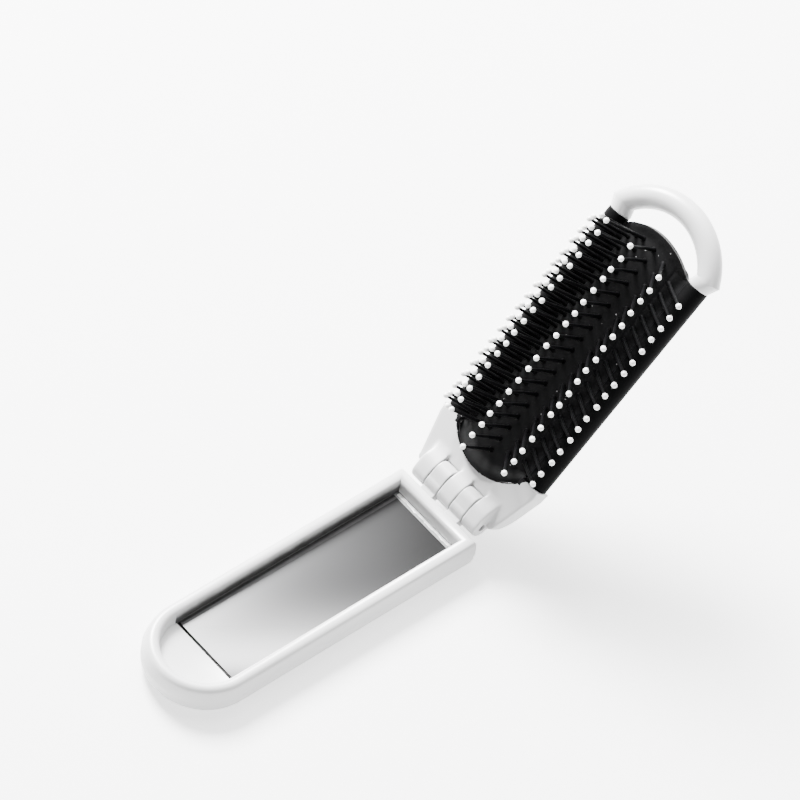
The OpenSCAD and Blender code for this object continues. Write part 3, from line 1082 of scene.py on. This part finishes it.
@dataclass
class HingePlate:
    """The moulded plate that joins the hinge's three fixed knuckles to the brush."""

    top: float = -0.15
    thick: float = 6.15
    length: float = 16.2
    half_width: float = 17.5
    edge: float = 2.2
    shoulder_start: float = 0.4
    shoulder_half: float = 14.4
    shoulder_round: float = 2.6
    heel_r: float = 6.4
    heel_step: float = 0.2
    crown: tuple[Point, ...] = (
        (0, 2.98), (1.6, 2.96), (2.9, 2.8), (4.0, 2.4), (5.0, 1.75), (5.9, 1.0), (6.9, 0.4))
    ramp_end: float = 8.3
    ramp_root: float = 2.4
    slot_reach: float = 5.98
    bore_r: float = 1.01
    pad_start: float = 9.6
    pad_cut_r: float = 15.4
    pad_cut_half: float = 11.4
    pad_cut_angle: float = 132.3
    # Where the plate gets black rubber as painted shade: half-width at its end, reach past the
    # bay's wall, and depth back from its end.
    end_shade_half: float = 12.3
    bay_shade_lap: float = 0.36
    end_shade_depth: float = 1.9
    crisp_slot: Point = (0.5, 0.7)
    crisp_bore: Triple = (3.4, 0.9, 2.0)
    crisp_bay: float = 0.6
    crisp_end: float = 0.5
    soft_passes: int = 70
    last_passes: int = 5
    voxel: float = 0.17

    @property
    def heel_z(self) -> float:
        """Height of the knuckles' underside, a small step above the barrel's own."""
        return -KNUCKLES.radius + self.heel_step

    @property
    def bay_x(self) -> float:
        """Middle of the arc of the pad's bay."""
        return self.pad_start + self.pad_cut_r

    def plan(self) -> list[Point]:
        """Draw the plate's plan, round both shoulders.

        Returns:
            The plan in X and Y.
        """
        centre = (self.shoulder_start + self.shoulder_round,
                  self.shoulder_half - self.shoulder_round)
        half = arc(centre, self.shoulder_round, 180, 100, 8)
        half += [(self.length - self.edge, self.half_width), (self.length, self.half_width)]
        return half + [(x, -y) for x, y in reversed(half)]

    def side(self) -> list[Point]:
        """Draw the plate's outline seen from the side, over its rounded heel.

        Returns:
            The outline in X and Z.
        """
        bottom = self.top - self.thick
        heel = arc((self.heel_r, bottom + self.heel_r), self.heel_r, -145, -90, 10)
        return [(0, self.top), (0, self.heel_z), *heel,
                (self.length, bottom), (self.length, self.top)]

    def bay(self) -> list[Point]:
        """Draw the bay that the pad's round end lies in.

        Returns:
            The outline in X and Y, past the plate's end.
        """
        mouth = self.length + 5
        round_end = arc((self.bay_x, 0), self.pad_cut_r, self.pad_cut_angle,
                        360 - self.pad_cut_angle, 40)
        return round_end + [(mouth, -self.pad_cut_half), (mouth, self.pad_cut_half)]

    def ramp(self, low: float, high: float) -> Thing:
        """Model a fixed knuckle with the ramp that runs out from its crown on to the plate.

        Args:
            low: Where it starts across the hinge.
            high: Where it ends.

        Returns:
            The knuckle.
        """
        roll = barrel("roll", KNUCKLES.radius, low, high)
        outline = [*self.crown, (self.ramp_end, self.top - 0.02), (self.ramp_end, -1.0),
                   (self.ramp_root, self.heel_z), (0, self.heel_z)]
        carve(roll, block("run", outline, low, high, across=True), Cut.ADD)
        return roll

    def stays_crisp(self, x: float, y: float, z: float) -> bool:
        """Say whether a vertex keeps its place while the rest of the moulding is smoothed.

        Args:
            x: Its place along the brush.
            y: Its place across.
            z: Its height.

        Returns:
            Whether it is at a slot, at the pin's mouth, at the pad's bay or at the plate's end.
        """
        reach, beside = self.crisp_slot
        near_slot = (x < self.slot_reach + reach
                     and abs(abs(y) - KNUCKLES.pitch) < KNUCKLES.pitch / 2 + beside)
        front, inward, radius = self.crisp_bore
        at_bore = (x < front and abs(y) > 2.5 * KNUCKLES.pitch - inward
                   and x * x + z * z < radius * radius)
        at_bay = abs(math.hypot(x - self.bay_x, y) - self.pad_cut_r) < self.crisp_bay
        return near_slot or at_bore or at_bay or x > self.length - self.crisp_end

    def soften(self, plate: Thing) -> None:
        """Smooth the moulding: much on the plate, little where it stays crisp.

        Args:
            plate: The plate, in object mode.
        """
        soft = [v.index for v in plate.data.vertices if not self.stays_crisp(*v.co)]
        plate.vertex_groups.new(name="soft").add(soft, 1.0, "REPLACE")
        work(plate, "SMOOTH", factor=0.5, iterations=self.soft_passes, vertex_group="soft")
        work(plate, "SMOOTH", factor=0.5, iterations=self.last_passes)
        plate.vertex_groups.clear()

    def gets_painted_pad_shade(self, p: Vector, n: Vector) -> bool:
        """Say whether a face gets the pad's black rubber as painted shade.

        Args:
            p: The face's middle.
            n: Its normal.

        Returns:
            Whether it is the wall of the bay or the plate's end under the sleeves' webs.
        """
        in_bay = math.hypot(p.x - self.bay_x, p.y) < self.pad_cut_r + self.bay_shade_lap
        at_end = p.x > self.length - self.end_shade_depth and abs(p.y) < self.end_shade_half
        return p.z < self.top + 0.1 and (in_bay or at_end)

    def build(self) -> None:
        """Build and dress the plate."""
        plate = block("hinge_plate_moulding", self.plan(), -12, 6)
        carve(plate, block("side", self.side(), -25, 25, across=True), Cut.KEEP_COMMON)
        carve(plate, block("pad_bay", self.bay(), -12, 6), Cut.REMOVE)
        pitch, half_gap = KNUCKLES.pitch, KNUCKLES.gap / 2
        reach = pitch / 2 + half_gap
        for side in (-1, 1):
            scoop = barrel("scoop", self.slot_reach, side * pitch - reach, side * pitch + reach, 96)
            carve(plate, scoop, Cut.REMOVE)
        inner, outer = 1.5 * pitch + half_gap, 2.5 * pitch
        middle = pitch / 2 - half_gap
        for low, high in ((-outer, -inner), (-middle, middle), (inner, outer)):
            carve(plate, self.ramp(low, high), Cut.ADD)
        carve(plate, barrel("bore", self.bore_r, -30, 30), Cut.REMOVE)
        work(plate, "REMESH", mode="VOXEL", voxel_size=self.voxel)
        self.soften(plate)
        plate.data.materials.append(WHITE_PLASTIC.material())
        # The bay's wall and the plate's end under the webs are coated with the pad rubber as
        # painted shade.
        coat_faces(plate, PAD_RUBBER, self.gets_painted_pad_shade)
        hand_over(plate, BRUSH_FRAME, WHITE_PLASTIC, "frame", ["hinge_plate"], sharp=60)


@dataclass
class LoopHandle:
    """The white tube that closes the brush's far end, with the rods inside the sleeves."""

    sleeve_end: float = 80.8
    stub: float = 2.8
    rod_back: float = 70.0
    tube_r: float = 3.1
    outer_r: float = 21.2
    half_angle: float = 59.0
    step: float = 0.35
    shoulder: float = 0.96

    def draw_stub(self, loop: Thing, side: int, corner: Vector) -> None:
        """Mitre one end of the arc, then draw it straight out to the sleeve and on as the rod.

        Args:
            loop: The arc.
            side: 1 for the left, -1 for the right.
            corner: The middle of the arc's end.
        """
        angle = math.radians(self.half_angle)
        seat = Vector((self.sleeve_end + self.step, side * RODS.y, RODS.z))
        along = Vector((-math.sin(angle), side * math.cos(angle), 0))
        run = (seat - corner).normalized()
        mitre = (along + run).normalized()
        for vertex in loop.data.vertices:
            offset = vertex.co - corner
            if abs(offset.dot(along)) < HAIR and offset.length < self.tube_r + 0.1:
                vertex.co -= along * (offset.dot(mitre) / along.dot(mitre))
        middle = (self.sleeve_end, seat.y, seat.z)
        thin = RODS.radius / self.tube_r / self.shoulder
        with editing(loop):
            pick(loop, Part.VERTS, lambda p, n: abs((p - corner).dot(mitre)) < HAIR
                 and (p - corner).length < self.tube_r * 1.3)
            push(*(seat - corner))
            swell((0, run.dot(mitre) / abs(mitre.x), 1), seat)
            push(x=-self.step)
            swell((1, self.shoulder, self.shoulder), middle)
            push()
            swell((1, thin, thin), middle)
            push(x=-self.rod_back)
            bpy.ops.mesh.edge_face_add()

    def build(self) -> None:
        """Spin a round section through the loop's arc, then draw it out into stubs and rods."""
        mid_r = self.outer_r - self.tube_r
        corner_x = self.sleeve_end + self.stub
        centre_x = corner_x - mid_r * math.cos(math.radians(self.half_angle))
        start = math.radians(-self.half_angle)
        bpy.ops.mesh.primitive_circle_add(
            vertices=48,
            radius=self.tube_r,
            location=(centre_x + mid_r * math.cos(start), mid_r * math.sin(start), RODS.z),
            rotation=(math.pi / 2, 0, start),
        )
        loop = fresh("loop_tube")
        with editing(loop):
            pick_all()
            bpy.ops.mesh.spin(steps=44, angle=-2 * abs(start), center=(centre_x, 0, RODS.z),
                              axis=(0, 0, 1))
        for side in (-1, 1):
            self.draw_stub(loop, side, Vector((corner_x, -side * mid_r * math.sin(start), RODS.z)))
        turn_outward(loop)
        hand_over(loop, BRUSH_FRAME, WHITE_PLASTIC, "frame", ["loop_handle"], sharp=28)


# ----------------------------------------------------------- rubber and rows


@dataclass
class Arch:
    """The shape of the stretched rubber that the pad, its webs and the rows stand on."""

    half_width: float = 11.2
    crest: float = 2.5
    base: float = -3.3
    start: float = 9.8
    end: float = 84.478
    start_r: float = 15.2
    end_r: float = 17.0
    web_start: float = 16.6
    web_end: float = 80.4

    @property
    def radius(self) -> float:
        """Radius of the arch across the pad."""
        return (self.half_width**2 + self.crest**2) / (2 * self.crest)

    def height(self, y: float) -> float:
        """Height of the rubber's face at a distance from the middle."""
        return self.base + self.crest - self.radius + math.sqrt(self.radius**2 - y * y)

    def ends(self, y: float) -> Point:
        """Find where the pad starts and ends.

        Args:
            y: The distance from the middle.

        Returns:
            Its start and its end along the brush.
        """
        low = self.start + self.start_r - math.sqrt(self.start_r**2 - y * y)
        high = self.end - self.end_r + math.sqrt(self.end_r**2 - y * y)
        return low, high


ARCH = Arch()


@dataclass
class PadSkin:
    """The rubber panel, lifted at its two round ends, and the folds that join it to the sleeves."""

    thick: float = 1.6
    web_edges: Point = (-7.6, 9.406)
    web_sink: float = 0.32
    hinge_reach: float = 0.2
    hinge_lift: float = 1.7
    hinge_run: float = 4.4
    loop_lift: float = 0.75
    loop_run: float = 3.0
    fold_inner: float = 8.2
    fold_outer: float = 12.0
    fold_thick: float = 0.35
    fold_inset: float = 0.6
    fold_middle: float = 48.0

    def top(self, x: float, y: float) -> float:
        """Find the height of the panel's face.

        Args:
            x: The place along the brush.
            y: The place across.

        Returns:
            The height, lower where a web lies over the panel and lifted at its two ends.
        """
        low, high = ARCH.ends(y)
        lift = (self.hinge_lift * ease(low + self.hinge_run - x, 0, self.hinge_run)
                + self.loop_lift * ease(x - high + self.loop_run, 0, self.loop_run))
        right, left = self.web_edges
        under = max(ease(y, left - 0.35, left + 0.25), ease(-y, -right - 0.35, -right + 0.25))
        along = ease(x, ARCH.web_start - 1.0, ARCH.web_start + 0.4) * ease(
            -x, -ARCH.web_end - 1.0, -ARCH.web_end + 0.4)
        return ARCH.height(y) + lift - self.web_sink * under * along

    def build_panel(self) -> None:
        """Shape a fine grid to the panel, thicken it and round its rim."""

        def lay(p: Vector) -> Triple:
            """Place a vertex of the grid on the panel's face.

            Args:
                p: The vertex's place in the grid.

            Returns:
                Its place on the panel.
            """
            y = p.y * ARCH.half_width
            low, high = ARCH.ends(y)
            low -= self.hinge_reach
            x = low + (high - low) * (p.x + 1) / 2
            return (x, y, self.top(x, y))

        panel = sheet("pad_skin", 150, 56, lay)
        work(panel, "SOLIDIFY", thickness=self.thick, offset=-1.0, use_even_offset=True)
        round_edges(panel, 0.5, 4)
        turn_outward(panel)
        hand_over(panel, BRUSH_FRAME, PAD_RUBBER, "pad", ["pad_panel"], sharp=50)

    def build_fold(self, side: int, name: str) -> None:
        """Lay the thin fold of rubber that stretches from a sleeve to the panel.

        Args:
            side: 1 for the left, -1 for the right.
            name: Name of the fold.
        """
        inner, outer = self.fold_inner, self.fold_outer
        first, last = ARCH.web_start + self.fold_inset, ARCH.web_end - self.fold_inset

        def lay(p: Vector) -> Triple:
            """Place a vertex of the fold under the panel's edge and the web.

            Args:
                p: The vertex's place in the grid.

            Returns:
                Its place under the panel.
            """
            y = side * (inner + (outer - inner) * (p.y + 1) / 2)
            x = first + (last - first) * (p.x + 1) / 2
            return (x, y, ARCH.height(y) - 1.0)

        fold = sheet(name, 60, 24, lay)
        work(fold, "SOLIDIFY", thickness=self.fold_thick, offset=-1.0)
        turn_outward(fold)
        hand_over(fold, BRUSH_FRAME, PAD_RUBBER, "frame", sharp=50)
        world = fold.matrix_world.copy()
        fold.parent = None
        fold.matrix_world = world
        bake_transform(fold)

    def build(self) -> None:
        """Build and dress the panel and its two folds."""
        self.build_panel()
        self.build_fold(1, "left_pad_fold")
        self.build_fold(-1, "right_pad_fold")


@dataclass
class Sleeve:
    """A rubber sleeve that turns on a side rod, with the web that carries the outer row."""

    side: int
    name: str
    body: str
    node: str
    web_edge: float
    start: float = 16.3
    end: float = 80.7
    radius: float = 3.0
    bore_r: float = 2.15
    web_lap: float = 1.3
    web_climb: float = 1.5
    web_taper: Point = (0.7, 0.2)
    web_thick: float = 0.9

    def from_rod(self, p: Vector) -> float:
        """Distance of a point from the rod's axis."""
        return math.hypot(p.y - self.side * RODS.y, p.z - RODS.z)

    def build_tube(self) -> Thing:
        """Model the hollow tube: inset both ends, open them and bridge the bore.

        Returns:
            The tube.
        """
        bpy.ops.mesh.primitive_cylinder_add(
            vertices=56,
            radius=self.radius,
            depth=self.end - self.start,
            location=((self.start + self.end) / 2, self.side * RODS.y, RODS.z),
            rotation=(0, math.pi / 2, 0),
        )
        tube = fresh(self.name)
        with editing(tube):
            pick(tube, Part.FACES, lambda p, n: abs(n.x) > 0.9)
            bpy.ops.mesh.inset(thickness=self.radius - self.bore_r, use_individual=True)
            bpy.ops.mesh.delete(type="FACE")
            inner = (self.radius + self.bore_r) / 2
            pick(tube, Part.EDGES, lambda p, n: self.from_rod(p) < inner)
            bpy.ops.mesh.bridge_edge_loops()
        turn_outward(tube)
        round_edges(tube, 0.28, 4)
        return tube

    def build_web(self) -> Thing:
        """Shape the web: a strip of the arch from the sleeve's crown to the panel.

        Returns:
            The web, thin at its edge.
        """
        inner, outer = self.web_edge, RODS.y - self.radius + self.web_lap
        first, last = ARCH.web_start, ARCH.web_end
        taper, thinner = self.web_taper

        def lay(p: Vector) -> Triple:
            """Place a vertex of the web on the arch, easing on to the sleeve.

            Args:
                p: The vertex's place in the grid.

            Returns:
                Its place on the arch.
            """
            y = inner + (outer - inner) * (p.y + 1) / 2
            x = first + (last - first) * (p.x + 1) / 2
            edge = min(abs(y - inner), x - first, last - x)
            climb = self.web_climb * ease(y, ARCH.half_width - 1.4, outer)
            height = ARCH.height(min(y, 12.4)) + climb - thinner * (1 - ease(edge, 0, taper))
            return (x, self.side * y, height)

        web = sheet(self.name + "_web", 90, 14, lay)
        turn_outward(web)
        with editing(web):
            pick_all()
            if web.data.polygons[0].normal.z < 0:
                bpy.ops.mesh.flip_normals()
        work(web, "SOLIDIFY", thickness=self.web_thick, offset=-1.0)
        turn_outward(web)
        return web

    def build(self) -> None:
        """Join the tube and its web and dress them."""
        tube, web = self.build_tube(), self.build_web()
        take_up(tube)
        web.select_set(True)
        bpy.ops.object.join()
        tube.data.materials.append(SLEEVE_RUBBER.material())
        coat_faces(tube, PAD_RUBBER, lambda p, n: self.from_rod(p) > self.radius + 0.1)
        hand_over(tube, BRUSH_FRAME, SLEEVE_RUBBER, self.body, [self.node], sharp=50)


@dataclass
class BristleRow:
    """One row of ball-tipped bristles standing on the rubber."""

    letter: str
    body: str
    place: float
    lean: float
    share: float
    first: float
    margin: float
    spacing: float = 4.2
    pitch: float = 3.6
    middle_length: float = 15.1
    foot_r: float = 0.85
    foot_sink: float = 0.4
    flare: tuple[Point, ...] = ((0.1, 0.78), (0.35, 0.6), (0.9, 0.5))
    middle_r: float = 0.45
    neck_r: float = 0.36
    ball_r: float = 0.75
    ball_seat: float = 0.48
    seat_share: float = 0.86
    seat_narrow: float = 0.92
    sway: float = 0.16
    sway_across: float = 0.8
    bend: float = 1.6
    drift: tuple[Point, Point] = ((0.0, 0.0), (0.0, 0.0))

    @property
    def length(self) -> float:
        """Length of a bristle, from the row's axis to the ball's centre."""
        return self.share * self.middle_length

    @property
    def count(self) -> int:
        """Number of bristles in the row."""
        return math.floor((ARCH.end - ARCH.start) / self.pitch - self.first - self.margin) + 1

    @property
    def root(self) -> Matrix:
        """The first bristle's foot, leaning with its row."""
        y = self.place * self.spacing
        foot = Vector((ARCH.start + self.first * self.pitch, y, ARCH.height(y) - 0.1))
        lean = Matrix.Rotation(math.radians(-self.lean), 4, "X")
        return BRUSH_FRAME @ Matrix.Translation(foot) @ lean

    def sways(self) -> list[Point]:
        """Draw how far each tip stands off its place, the same in every run.

        Returns:
            Each tip's step along the row and across it.
        """
        draw = random.Random(ord(self.letter))
        (x0, y0), (x1, y1) = self.drift
        shares = [number / (self.count - 1) for number in range(self.count)]
        return [(x0 + (x1 - x0) * share + draw.gauss(0, self.sway),
                 y0 + (y1 - y0) * share + draw.gauss(0, self.sway * self.sway_across))
                for share in shares]

    def array(self, piece: Thing) -> None:
        """Repeat a piece along the row and let each copy sway a little.

        Args:
            piece: The first bristle's piece.
        """
        work(piece, "ARRAY", count=self.count, use_relative_offset=False,
             use_constant_offset=True, constant_offset_displace=(self.pitch, 0, 0))
        sways = self.sways()

        def lean_over(p: Vector) -> Triple:
            """Bend a vertex with its bristle.

            Args:
                p: The vertex's place on the straight bristle.

            Returns:
                Its place on the bent one.
            """
            number = min(max(round(p.x / self.pitch), 0), self.count - 1)
            pull = min(max(p.z / self.length, 0.0), 1.0) ** self.bend
            return (p.x + sways[number][0] * pull, p.y + sways[number][1] * pull, p.z)

        model_over(piece, lean_over)

    def build_pins(self) -> None:
        """Draw one tapered bristle up from its flared foot, and repeat it."""
        radius, height = self.foot_r, -self.foot_sink
        bpy.ops.mesh.primitive_circle_add(vertices=10, radius=radius, fill_type="NGON",
                                          location=(0, 0, height))
        pin = fresh(f"row_{self.letter}_pins")
        top = self.length - self.ball_seat
        with editing(pin):
            pick_all()
            for to_height, to_radius in (*self.flare, (top * 0.5, self.middle_r),
                                         (top, self.neck_r)):
                push(z=to_height - height)
                ratio = to_radius / radius
                swell((ratio, ratio, 1), (0, 0, to_height))
                radius, height = to_radius, to_height
        turn_outward(pin)
        self.array(pin)
        hand_over(pin, self.root, BRISTLE_NYLON, self.body, [f"row_{self.letter}_bristles"],
                  sharp=60)

    def build_tips(self) -> None:
        """Seat one ball on its bristle, draw its neck down, and repeat it."""
        bpy.ops.mesh.primitive_uv_sphere_add(segments=12, ring_count=8, radius=self.ball_r,
                                             location=(0, 0, self.length))
        ball = fresh(f"row_{self.letter}_balls")
        with editing(ball):
            pick(ball, Part.FACES, lambda p, n: n.z < -self.seat_share)
            swell((self.seat_narrow, self.seat_narrow, 0),
                  (0, 0, self.length - self.ball_r * self.seat_share))
        turn_outward(ball)
        self.array(ball)
        hand_over(ball, self.root, TIP_WHITE, self.body, [f"row_{self.letter}_tips"], sharp=70)

    def build(self) -> None:
        """Build and dress the row."""
        self.build_pins()
        self.build_tips()


ROWS = (
    BristleRow("a", "right_hem", -2, -43.3, 0.908, 2.55, 2.1,
               drift=((0.03, -0.6), (-0.2, -0.45))),
    BristleRow("b", "row_b", -1, -26.7, 1.033, 2.3, 1.4,
               drift=((-0.68, -1.48), (-0.21, -0.5))),
    BristleRow("c", "pad", 0, 0, 1, 1.6, 1.1, drift=((-0.4, -0.3), (0.13, -1.23))),
    BristleRow("d", "row_d", 1, 20.8, 0.987, 2.65, 1,
               drift=((-0.12, -0.69), (-0.11, -1.16))),
    BristleRow("e", "row_e", 1.5, 24.5, 0.864, 2.45, 1.2),
    BristleRow("f", "row_f", 1.94, 31.5, 0.774, 2.95, 1.7),
    BristleRow("g", "left_hem", 2.43, 35.4, 0.663, 2.45, 2.1),
)


# ------------------------------------------------------------- carried nodes


@dataclass
class CarriedNodes:
    """The CAD nodes that stay as they are and only get a finish."""

    coats: tuple[tuple[str, Finish], ...] = (
        ("mirror_backing", BACKING_PAINT),
        ("adhesive_pad", ADHESIVE_FOAM),
        ("hinge_pin", PIN_STEEL),
    )

    def build(self) -> None:
        """Coat each node."""
        for name, finish in self.coats:
            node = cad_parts[name]
            node.data.materials.clear()
            node.data.materials.append(finish.material())
            log.info("%s: coated with %s", name, finish.name)


# -------------------------------------------------------------------- studio


@dataclass
class Studio:
    """Pale floor, soft lights and the camera at the photograph's viewing angle."""

    right: Triple = (0.75172, -0.64364, 0.14368)
    down: Triple = (-0.43909, -0.65104, -0.61916)
    forward: Triple = (0.49205, 0.40235, -0.77201)
    hinge_seen: Triple = (12.59173, 23.83844, 1643.67426)
    focal: float = 6651.8
    picture: float = 800.0
    sensor: float = 36.0
    clip: Point = (0.05, 30.0)
    floor_size: float = 12.0
    sky: float = 0.7
    softboxes: tuple[tuple[str, Triple, float, float], ...] = (
        ("mirror_softbox", (0.70, 0.56, 1.08), 1.6, 54.0),
        ("key_softbox", (0.31, 0.91, 0.90), 0.5, 185.0),
    )

    def build_camera(self) -> None:
        """Set the camera where the photograph was taken from."""
        turn = Matrix((self.right, self.down, self.forward))
        place = HINGE_AXIS - turn.transposed() @ Vector(self.hinge_seen) * MILLIMETRE
        data = bpy.data.cameras.new("photo_camera")
        data.sensor_width = self.sensor
        data.lens = self.focal / self.picture * self.sensor
        data.clip_start, data.clip_end = self.clip
        camera = bpy.data.objects.new("photo_camera", data)
        bpy.context.scene.collection.objects.link(camera)
        look = Matrix((self.right, [-v for v in self.down], [-v for v in self.forward]))
        camera.matrix_world = Matrix.Translation(place) @ look.transposed().to_4x4()
        bpy.context.scene.camera = camera

    def build_light(self, name: str, place: Triple, size: float, power: float) -> None:
        """Hang a square soft light that looks at the hinge.

        Args:
            name: Name of the light.
            place: Where it hangs, in metres.
            size: Length of its side, in metres.
            power: Its power in watts.
        """
        data = bpy.data.lights.new(name, "AREA")
        data.size, data.energy = size, power
        lamp = bpy.data.objects.new(name, data)
        lamp.location = place
        aim = HINGE_AXIS - Vector(place)
        lamp.rotation_euler = aim.to_track_quat("-Z", "Y").to_euler()
        bpy.context.scene.collection.objects.link(lamp)

    def build(self) -> None:
        """Build the floor, the lights and the camera."""
        bpy.ops.mesh.primitive_plane_add(size=self.floor_size)
        floor = fresh("studio_floor_sheet")
        floor.data.materials.append(FLOOR_PAINT.material())
        world = bpy.data.worlds.new("studio_sky")
        world.use_nodes = True
        background = world.node_tree.nodes["Background"]
        background.inputs["Color"].default_value = (1, 1, 1, 1)
        background.inputs["Strength"].default_value = self.sky
        bpy.context.scene.world = world
        for softbox in self.softboxes:
            self.build_light(*softbox)
        self.build_camera()


# ---------------------------------------------------------------------- main


def main() -> None:
    """Build the hairbrush piece by piece, then the studio."""
    logging.basicConfig(level=logging.INFO, format="%(name)s %(message)s")
    Cover().build()
    Mirror().build()
    CarriedNodes().build()
    HingePlate().build()
    LoopHandle().build()
    Sleeve(1, "left_sleeve_rubber", "left_hem", "left_sleeve", 9.2).build()
    Sleeve(-1, "right_sleeve_rubber", "right_hem", "right_sleeve", 7.4).build()
    PadSkin().build()
    for row in ROWS:
        row.build()
    Studio().build()


if __name__ == "__main__":
    main()
